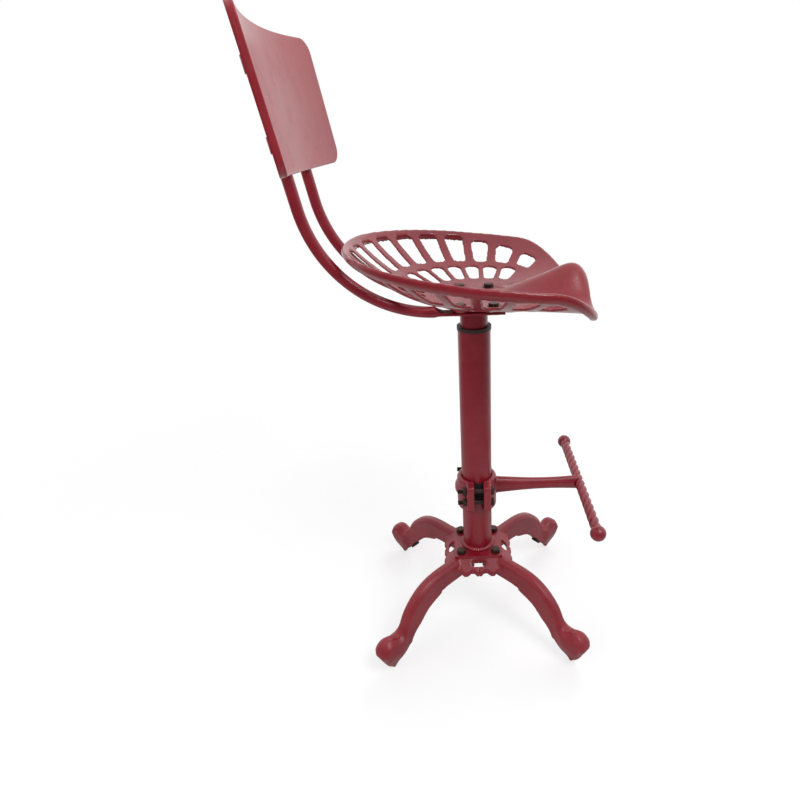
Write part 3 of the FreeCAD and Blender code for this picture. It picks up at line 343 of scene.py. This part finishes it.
leg_red = enamel(
    "leg_enamel", (0.165, 0.0055, 0.0145), (0.245, 0.0100, 0.0200), 0.40, 0.30, wear_and_sheen=0.8
)
HOOF_REACH, HOOF_HEIGHT, HOOF_SPREAD = (0.178, 0.202), (0.002, 0.026), 0.42
SLIM_HEIGHT, SLIM_SHARE = (0.045, 0.075), 0.6
CURL_REACH, CURL_HEIGHT, CURL_DROP = (0.197, 0.222), (0.020, 0.065), 0.004
TOE_FOOT, TOE_TOP, TOE_SWELL = (0.003, 0.016), (0.020, 0.040), 0.0030


def eased_step(low, high, value):
    """0 up to low, 1 from high, and a smooth rise between them."""
    share = min(1.0, max(0.0, (value - low) / (high - low)))
    return share * share * (3 - 2 * share)


def shape_the_hoof(piece):
    """Widen the hoof above its point, lower its curl and swell its toe."""
    for vert in piece.data.vertices:
        out = (abs(vert.co.x) + abs(vert.co.y)) / math.sqrt(2)
        aside = (abs(vert.co.y) - abs(vert.co.x)) / math.sqrt(2)
        share = eased_step(*HOOF_REACH, out) * eased_step(*HOOF_HEIGHT, vert.co.z)
        aside *= 1 + HOOF_SPREAD * share * (1 - SLIM_SHARE * eased_step(*SLIM_HEIGHT, vert.co.z))
        curl = eased_step(*CURL_REACH, out)
        swell = eased_step(*TOE_FOOT, vert.co.z) * (1 - eased_step(*TOE_TOP, vert.co.z))
        out += TOE_SWELL * curl * swell
        vert.co.z -= CURL_DROP * curl * eased_step(*CURL_HEIGHT, vert.co.z)
        vert.co.x = math.copysign((out - aside) / math.sqrt(2), vert.co.x)
        vert.co.y = math.copysign((out + aside) / math.sqrt(2), vert.co.y)


for leg in ("leg_front_left", "leg_front_right", "leg_rear_left", "leg_rear_right"):
    piece = new_piece(leg + "_casting", solid_of(leg), leg_red, "column", leg)
    soften(piece, LEG_VOXEL, LEG_ROUNDING)
    shape_the_hoof(piece)

# A black rubber bumper sits on the inner slope of each leg, behind the hoof. It is moulded in
# one piece with rounded corners, and pressed on.

rubber = Finish("black_rubber")
bloom = rubber.noise(60, 5, 0.65)
rubber_black = rubber.surface(
    colour=rubber.blend(bloom, (0.010, 0.010, 0.011), (0.030, 0.029, 0.028)),
    roughness=0.55 + bloom * 0.25,
    normal=rubber.bump(rubber.noise(300, 3), 0.25, 0.0005),
)

BUMPER_SWELL, BUMPER_VOXEL, BUMPER_ROUNDING = 1.3, 0.0008, 5

bumpers_bm = solid_of("leg_bumpers")
for quarter_x in (-1, 1):
    for quarter_y in (-1, 1):
        own = [v for v in bumpers_bm.verts if v.co.x * quarter_x > 0 and v.co.y * quarter_y > 0]
        middle = sum((v.co for v in own), Vector()) / len(own)
        bmesh.ops.scale(
            bumpers_bm, vec=(BUMPER_SWELL,) * 3, space=Matrix.Translation(-middle), verts=own
        )
bumpers = new_piece("rubber_bumpers", bumpers_bm, rubber_black, "column", "leg_bumpers")
soften(bumpers, BUMPER_VOXEL, BUMPER_ROUNDING)


def dress(node, material):
    """Give a CAD node its finish."""
    mesh = nodes[node].data
    mesh.materials.clear()
    mesh.materials.append(material)


# The column is a two-inch tube welded to a square plate, which four bolts hold down on the
# legs. Tube, plate and weld have the same smooth red enamel.

tube_red = enamel("tube_enamel", (0.175, 0.0030, 0.0115), (0.215, 0.0050, 0.0150), 0.30, 0.05)
for node in ("column_flange", "column_tube"):
    dress(node, tube_red)

COLUMN_RADIUS, WELD_INSET, WELD_HEIGHT = 0.0254, 0.001, 0.0050
WELD_FACE = ((0.0052, 0.0), (0.0046, 0.0018), (0.0026, 0.0036), (0.0004, WELD_HEIGHT))
WELD_SECTION = ((-WELD_INSET, 0.0), *WELD_FACE, (-WELD_INSET, WELD_HEIGHT))
WELD_WAVES, STEPS_A_WAVE, SLOW_WAVES = 46, 6, 5
WAVE_SWELL, SLOW_SWELL, SWELL_SHARE = 0.35, 0.2, 0.5
STILL_WITHIN, FULL_BEYOND = 0.0002, 0.003


def weld_bead():
    """A hand-laid fillet: a ring whose bead swells and dips as it was drawn along."""
    bm = bmesh.new()
    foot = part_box("column_weld")[0].z
    ring = [bm.verts.new((COLUMN_RADIUS + out, 0, foot + rise)) for out, rise in WELD_SECTION]
    edges = [bm.edges.new((ring[k], ring[(k + 1) % len(ring)])) for k in range(len(ring))]
    bmesh.ops.spin(
        bm, geom=ring + edges, cent=(0, 0, 0), axis=(0, 0, 1), angle=2 * math.pi,
        steps=WELD_WAVES * STEPS_A_WAVE, use_merge=True,
    )
    bmesh.ops.remove_doubles(bm, verts=bm.verts, dist=1e-6)
    for vert in bm.verts:
        angle = math.atan2(vert.co.y, vert.co.x)
        out = math.hypot(vert.co.x, vert.co.y) - COLUMN_RADIUS
        if out < STILL_WITHIN:
            continue
        ripple = WAVE_SWELL * math.sin(angle * WELD_WAVES)
        ripple += SLOW_SWELL * math.sin(angle * SLOW_WAVES + 1)
        swell = 1 + ripple * SWELL_SHARE * min(1, out / FULL_BEYOND)
        vert.co.z = foot + (vert.co.z - foot) * swell
    bmesh.ops.recalc_face_normals(bm, faces=bm.faces)
    return bm


weld = new_piece("weld_bead", weld_bead(), tube_red, "column", "column_weld")
settle(weld)

# Hexagon bolts, washers and nuts of blackened steel hold the base, the seat and the clamp.
# Heads and nuts have chamfered corners, and each bolt's free end has a rolled thread.

black = Finish("blackened_steel")
patch = black.noise(120, 4, 0.6)
dark_steel = black.surface(
    colour=black.blend(patch, (0.018, 0.012, 0.012), (0.110, 0.062, 0.048)),
    metallic=0.75,
    roughness=0.34 + patch * 0.3,
    normal=black.bump(black.noise(500, 3), 0.3, 0.0004),
)


def islands(node):
    """Lowest and highest corner of each separate solid of a CAD group."""
    bm = solid_of(node)
    left = set(bm.verts)
    found = []
    while left:
        island, edge = set(), {left.pop()}
        while edge:
            vert = edge.pop()
            island.add(vert)
            edge |= {link.other_vert(vert) for link in vert.link_edges} - island
        left -= island
        corners = [[pick(v.co[k] for v in island) for k in range(3)] for pick in (min, max)]
        found.append([Vector(corner) for corner in corners])
    bm.free()
    return sorted(found, key=lambda pair: tuple(round(c, 4) for c in pair[0]))


EDGE_EASE = 0.05


def hexagon(bm, flats, low, high, turned):
    """A hexagonal prism along Z with its edges eased."""
    corner = flats / math.sqrt(3)
    middle = Matrix.Translation((0, 0, (low + high) / 2)) @ Matrix.Rotation(turned, 4, "Z")
    made = bmesh.ops.create_cone(
        bm, cap_ends=True, segments=6, radius1=corner, radius2=corner, depth=high - low,
        matrix=middle,
    )
    rim = list({edge for vert in made["verts"] for edge in vert.link_edges})
    bmesh.ops.bevel(
        bm, geom=rim, offset=flats * EDGE_EASE, segments=2, affect="EDGES", profile=0.5,
        material=-1,
    )


ROD_SIDES = 24


def turned_rod(bm, profile):
    """Turn a profile of radius and height pairs round Z."""
    spots = [bm.verts.new((radius, 0, height)) for radius, height in profile]
    edges = [bm.edges.new(pair) for pair in zip(spots, spots[1:])]
    bmesh.ops.spin(
        bm, geom=spots + edges, cent=(0, 0, 0), axis=(0, 0, 1), angle=2 * math.pi,
        steps=ROD_SIDES, use_merge=True,
    )


ALONG_X, ALONG_Z = 0, 2


def along_axis(node, axis, make):
    """Make one fastener along Z for each solid of a CAD group and stand it in its place."""
    whole = bmesh.new()
    for number, (low, high) in enumerate(islands(node)):
        one = bmesh.new()
        make(one, high[axis] - low[axis], number)
        bmesh.ops.remove_doubles(one, verts=one.verts, dist=1e-6)
        bmesh.ops.recalc_face_normals(one, faces=one.faces)
        foot = (low + high) / 2
        foot[axis] = low[axis]
        swing = Matrix.Rotation(math.radians(90), 4, "Y") if axis == ALONG_X else Matrix()
        bmesh.ops.transform(one, matrix=Matrix.Translation(foot) @ swing, verts=one.verts)
        mesh = bpy.data.meshes.new("one")
        one.to_mesh(mesh)
        one.free()
        whole.from_mesh(mesh)
        bpy.data.meshes.remove(mesh)
    return whole


M8_FLATS, M8_HEAD, M8_SHANK, HEAD_OVERLAP = 0.013, 0.0053, 0.008, 0.0005
THREAD_PITCH, THREAD_CREST, THREAD_ROOT = 0.00125, 0.0003, 0.0009
ROOT_SHARE, POINT_SHARE, POINT_HEIGHT, THREAD_END = 0.43, 0.40, 0.0007, 0.0011
HEAD_ANGLE, HEAD_STEP, NUT_ANGLE, NUT_STEP = 0.3, 0.7, 0.5, 0.9
BASE_THREAD, SEAT_THREAD, CLAMP_THREAD = 0.012, 0.006, 0.014
def hex_bolts(name, body, node, axis, thread):
    """Bolts with an eased head at the high end and a rolled thread at the low end."""

    def make(bm, length, number):
        hexagon(bm, M8_FLATS, length - M8_HEAD, length, HEAD_ANGLE + number * HEAD_STEP)
        radius, root = M8_SHANK / 2, M8_SHANK * ROOT_SHARE
        profile = [(0.0, 0.0), (M8_SHANK * POINT_SHARE, 0.0), (radius, POINT_HEIGHT)]
        for turn_number in range(int(thread / THREAD_PITCH)):
            start = POINT_HEIGHT + turn_number * THREAD_PITCH
            profile += [(radius, start + THREAD_CREST), (root, start + THREAD_ROOT)]
        inside_head = length - M8_HEAD + HEAD_OVERLAP
        profile += [(radius, thread + THREAD_END), (radius, inside_head), (0.0, inside_head)]
        turned_rod(bm, profile)

    new_piece(name, along_axis(node, axis, make), dark_steel, body, node)


def hex_nuts(name, body, node, axis):
    """Nuts with eased edges, each turned a little further than the one before."""

    def make(bm, length, number):
        hexagon(bm, M8_FLATS, 0.0, length, NUT_ANGLE + number * NUT_STEP)

    new_piece(name, along_axis(node, axis, make), dark_steel, body, node)


hex_bolts("base_hex_bolts", "column", "base_bolts", ALONG_Z, BASE_THREAD)
hex_nuts("base_hex_nuts", "column", "base_nuts", ALONG_Z)
dress("base_washers", dark_steel)

# The screw lift inside the column: a steel screw in its plug, a bronze nut, a nylon guide
# ring, and the black bushing that caps the column.

steel = Finish("greased_steel")
grease = steel.noise(40, 4, 0.6)
screw_steel = steel.surface(
    colour=steel.blend(grease, (0.30, 0.29, 0.27), (0.52, 0.51, 0.49)),
    metallic=1.0,
    roughness=0.28 + grease * 0.2,
    normal=steel.bump(steel.noise(260, 3), 0.15, 0.0004),
)
for node in ("screw_anchor", "lead_screw", "screw_stop"):
    dress(node, screw_steel)

bronze = Finish("turned_bronze")
tarnish = bronze.noise(50, 5, 0.6)
dress("lift_nut", bronze.surface(
    colour=bronze.blend(tarnish, (0.24, 0.13, 0.045), (0.46, 0.30, 0.12)),
    metallic=1.0,
    roughness=0.30 + tarnish * 0.2,
))

nylon = Finish("nylon")
milky = nylon.noise(70, 4)
dress("post_guide_ring", nylon.surface(
    colour=nylon.blend(milky, (0.62, 0.60, 0.54), (0.72, 0.71, 0.66)),
    roughness=0.45 + milky * 0.1,
))

moulded = Finish("black_bushing")
speck = moulded.noise(180, 4, 0.6)
bushing_black = moulded.surface(
    colour=moulded.blend(speck, (0.020, 0.010, 0.011), (0.050, 0.024, 0.026)),
    roughness=0.42 + speck * 0.2,
    normal=moulded.bump(moulded.noise(350, 3), 0.2, 0.0004),
)
dress("column_bushing", bushing_black)

# The seat post is a steel tube that slides in the column. A plate welded on its top carries
# the seat and the straps of the back tubes, and both have the column's enamel.

for node in ("seat_post", "seat_plate"):
    dress(node, tube_red)

# The seat is one casting in thick red enamel: a dish with a ridge between the thighs, two
# rows of tapered holes and a rolled rim.

seat_red = enamel(
    "seat_enamel", (0.155, 0.0050, 0.0130), (0.235, 0.0090, 0.0180), 0.29, 0.12, wear_and_sheen=0.6
)
SEAT_VOXEL, SEAT_ROUNDING, RIM_ROUNDING = 0.0019, 6, 18
SEAT_MIDDLE = Vector((0.020, 0, 0))
BACK_POWER, FRONT_POWER = 2.2, 3.3
RIM_START, RIM_END = 0.945, 0.975


def round_the_rim(piece):
    """Smooth the seat's outer edge further, so that it reads as a rolled bead."""
    rim = piece.vertex_groups.new(name="rim")
    low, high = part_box("seat_pan")
    half = (high.y - low.y) / 2
    for vert in piece.data.vertices:
        spot = vert.co - SEAT_MIDDLE
        back = spot.x < 0
        power = BACK_POWER if back else FRONT_POWER
        reach = SEAT_MIDDLE.x - low.x if back else high.x - SEAT_MIDDLE.x
        share = (abs(spot.x / reach) ** power + abs(spot.y / half) ** power) ** (1 / power)
        weight = min(1.0, max(0.0, (share - RIM_START) / (RIM_END - RIM_START)))
        if weight > 0:
            rim.add([vert.index], weight, "REPLACE")
    smooth = piece.modifiers.new("rolled_rim", "SMOOTH")
    smooth.factor = 0.5
    smooth.iterations = RIM_ROUNDING
    smooth.vertex_group = "rim"
    settle(piece)


pan = new_piece("seat_casting", solid_of("seat_pan"), seat_red, "seat", "seat_pan")
soften(pan, SEAT_VOXEL, SEAT_ROUNDING)
round_the_rim(pan)

# Four blackened bolts on washers pass through the seat's floor. They hold it down on the
# flattened straps of the back tubes, and these on the plate.

hex_bolts("seat_hex_bolts", "seat", "seat_bolts", ALONG_Z, SEAT_THREAD)
dress("seat_washers", dark_steel)

# Two bent tubes, flattened where they run under the seat, rise behind it to the back. A
# plug closes each upper end.

for node in ("back_tube_left", "back_tube_right"):
    dress(node, tube_red)
dress("tube_caps", rubber_black)

# The back is one pressed sheet, bent to a wide curve, with rounded corners and its edge folded
# back all round. Riveted saddles hold it on the tubes, which pass through two notches.

panel_red = enamel("panel_enamel", (0.225, 0.0080, 0.0170), (0.280, 0.0130, 0.0240), 0.33, 0.04)
PANEL_FOOT, PANEL_LEAN = Vector((-0.2300005, 0, 0.7676345)), math.radians(10.5)
PANEL_WIDE, PANEL_TALL, PANEL_CORNER = 0.343, 0.174, 0.022
PANEL_CURVE, PANEL_SHEET, PANEL_FOLD, FOLD_ROUND = 0.600, 0.0020, 0.0095, 0.0020
PANEL_STRIPS, CORNER_STEPS, FOLD_STEPS, FRONT_INSET = 56, 10, 4, 0.0015
TUBE_SIDE, TUBE_RADIUS, SADDLE_GAP, NOTCH_TALL, NOTCH_SIDES = 0.0564, 0.008, 0.0003, 0.012, 40
SHEET_BACK = PANEL_CURVE - math.sqrt((PANEL_CURVE + PANEL_SHEET) ** 2 - TUBE_SIDE**2)
TUBE_DEPTH = SHEET_BACK - TUBE_RADIUS
panel_place = Matrix.Translation(PANEL_FOOT) @ Matrix.Rotation(-PANEL_LEAN, 4, "Y")


def pressed_sheet():
    """A flat blank with its edge folded back, then rolled to the panel's curve."""
    bm = bmesh.new()
    half = PANEL_WIDE / 2
    outline = ((-half, 0), (half, 0), (half, PANEL_TALL), (-half, PANEL_TALL))
    corners = [bm.verts.new((0, y, z)) for y, z in outline]
    bm.faces.new(corners)
    bmesh.ops.bevel(
        bm, geom=corners, offset=PANEL_CORNER, segments=CORNER_STEPS, affect="VERTICES",
        profile=0.5, material=-1,
    )
    rim = bm.edges[:]
    made = bmesh.ops.extrude_edge_only(bm, edges=rim)
    skirt = [item for item in made["geom"] if isinstance(item, bmesh.types.BMVert)]
    bmesh.ops.translate(bm, vec=(-PANEL_FOLD, 0, 0), verts=skirt)
    bmesh.ops.bevel(
        bm, geom=rim, offset=FOLD_ROUND, segments=FOLD_STEPS, affect="EDGES", profile=0.5,
        material=-1,
    )
    front = max(bm.faces, key=lambda face: face.calc_area())
    bmesh.ops.inset_region(bm, faces=[front], thickness=FRONT_INSET, use_even_offset=True)
    for strip in range(1, PANEL_STRIPS):
        everything = bm.verts[:] + bm.edges[:] + bm.faces[:]
        spot = (0, -half + PANEL_WIDE * strip / PANEL_STRIPS, 0)
        bmesh.ops.bisect_plane(bm, geom=everything, dist=1e-6, plane_co=spot, plane_no=(0, 1, 0))
    bmesh.ops.recalc_face_normals(bm, faces=bm.faces)
    if max(bm.faces, key=lambda face: face.calc_area()).normal.x < 0:
        bmesh.ops.reverse_faces(bm, faces=bm.faces)
    for vert in bm.verts:
        radius = PANEL_CURVE - vert.co.x
        vert.co.x = PANEL_CURVE - math.sqrt(radius**2 - vert.co.y**2)
    return bm


def tube_notches():
    """Two round cutters where the tubes pass the folded lower edge."""
    bm = bmesh.new()
    radius = TUBE_RADIUS + SADDLE_GAP / 2
    for side in (-1, 1):
        bmesh.ops.create_cone(
            bm, cap_ends=True, segments=NOTCH_SIDES, radius1=radius, radius2=radius,
            depth=NOTCH_TALL,
            matrix=Matrix.Translation((TUBE_DEPTH - SADDLE_GAP, side * TUBE_SIDE, 0)),
        )
    mesh = bpy.data.meshes.new("notches")
    bm.to_mesh(mesh)
    bm.free()
    cutter = bpy.data.objects.new("notches", mesh)
    scene.collection.objects.link(cutter)
    return cutter


back_sheet = new_piece(
    "back_sheet", pressed_sheet(), panel_red, "seat", "back_panel"
)
wall = back_sheet.modifiers.new("sheet", "SOLIDIFY")
wall.thickness = PANEL_SHEET
wall.offset = -1
wall.use_even_offset = True
cutter = tube_notches()
notch = back_sheet.modifiers.new("notches", "BOOLEAN")
notch.operation = "DIFFERENCE"
notch.object = cutter
settle(back_sheet)
bpy.data.objects.remove(cutter)
back_sheet.data.transform(panel_place)

SADDLE_EASE, SADDLE_FLAT, SADDLE_EDGE = 0.0006, math.radians(0.4), math.radians(40)

saddle_bm = solid_of("panel_saddles")
bmesh.ops.dissolve_limit(
    saddle_bm, angle_limit=SADDLE_FLAT, verts=saddle_bm.verts, edges=saddle_bm.edges
)
saddles = new_piece("tube_saddles", saddle_bm, tube_red, "seat", "panel_saddles")
eased = saddles.modifiers.new("eased_edges", "BEVEL")
eased.width = SADDLE_EASE
eased.segments = 3
eased.angle_limit = SADDLE_EDGE
eased.harden_normals = True
settle(saddles)
dress("saddle_rivets", tube_red)

# The footrest's clamp is two enamelled castings round a black liner, drawn together by four
# bolts. The front casting runs out into an arm, which butts on the bar.

# The liner's near-black is its own colour. Where it shows in the gap between the clamp's ears, it
# is also painted shade for that recess.
liner_and_shade = Finish("clamp_liner_and_painted_shade")
fibre = liner_and_shade.noise(90, 5, 0.7)
dress("clamp_liner", liner_and_shade.surface(
    colour=liner_and_shade.blend(fibre, (0.008, 0.008, 0.008), (0.022, 0.021, 0.021)),
    roughness=0.75 + fibre * 0.15,
))

footrest_red = enamel(
    "footrest_enamel", (0.160, 0.0060, 0.0150), (0.230, 0.0110, 0.0220), 0.34, 0.20, wear_and_sheen=0.6
)
CLAMP_VOXEL, CLAMP_ROUNDING = 0.0011, 7
for node in ("clamp_front", "clamp_rear"):
    piece = new_piece(
        node + "_casting", solid_of(node), footrest_red, "footrest", node
    )
    soften(piece, CLAMP_VOXEL, CLAMP_ROUNDING)

hex_bolts("clamp_hex_bolts", "footrest", "clamp_bolts", ALONG_X, CLAMP_THREAD)
hex_nuts("clamp_hex_nuts", "footrest", "clamp_nuts", ALONG_X)

# The footrest's bar is three strands of steel twisted like a rope, with a ball at each end. It
# is fixed across the end of the arm and has the clamp's enamel.

BAR_RADIUS, BAR_STRANDS, BAR_TURNS, BAR_STEPS = 0.0082, 3, 5.5, 260
STRAND_SIDES, GROOVE, GROOVE_POWER = 14, 0.0021, 1.5


def rope_bar():
    """Twist a grooved ring along the bar's length, and close it with a ball at each end."""
    bm = bmesh.new()
    low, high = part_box("footrest_bar")
    ball = (high.z - low.z) / 2
    middle = (low + high) / 2
    length = high.y - low.y - 2 * ball
    around = BAR_STRANDS * STRAND_SIDES
    made = bmesh.ops.create_circle(bm, cap_ends=False, segments=around, radius=BAR_RADIUS)
    for vert in made["verts"]:
        angle = math.atan2(vert.co.y, vert.co.x)
        crown = abs(math.sin(angle * BAR_STRANDS / 2))
        vert.co *= 1 - GROOVE / BAR_RADIUS * (1 - crown) ** GROOVE_POWER
    bmesh.ops.spin(
        bm, geom=made["verts"] + bm.edges[:], cent=(0, 0, 0), axis=(0, 0, 1),
        dvec=(0, 0, length / BAR_STEPS), angle=2 * math.pi * BAR_TURNS, steps=BAR_STEPS,
        use_merge=False,
    )
    bmesh.ops.translate(bm, vec=(0, 0, -length / 2), verts=bm.verts)
    for side in (-1, 1):
        bmesh.ops.create_uvsphere(
            bm, u_segments=40, v_segments=24, radius=ball,
            matrix=Matrix.Translation((0, 0, side * length / 2)),
        )
    matrix = Matrix.Translation(middle) @ Matrix.Rotation(math.radians(90), 4, "X")
    bmesh.ops.transform(bm, matrix=matrix, verts=bm.verts)
    bmesh.ops.recalc_face_normals(bm, faces=bm.faces)
    return bm


bar = new_piece("rope_bar", rope_bar(), footrest_red, "footrest", "footrest_bar")
settle(bar)
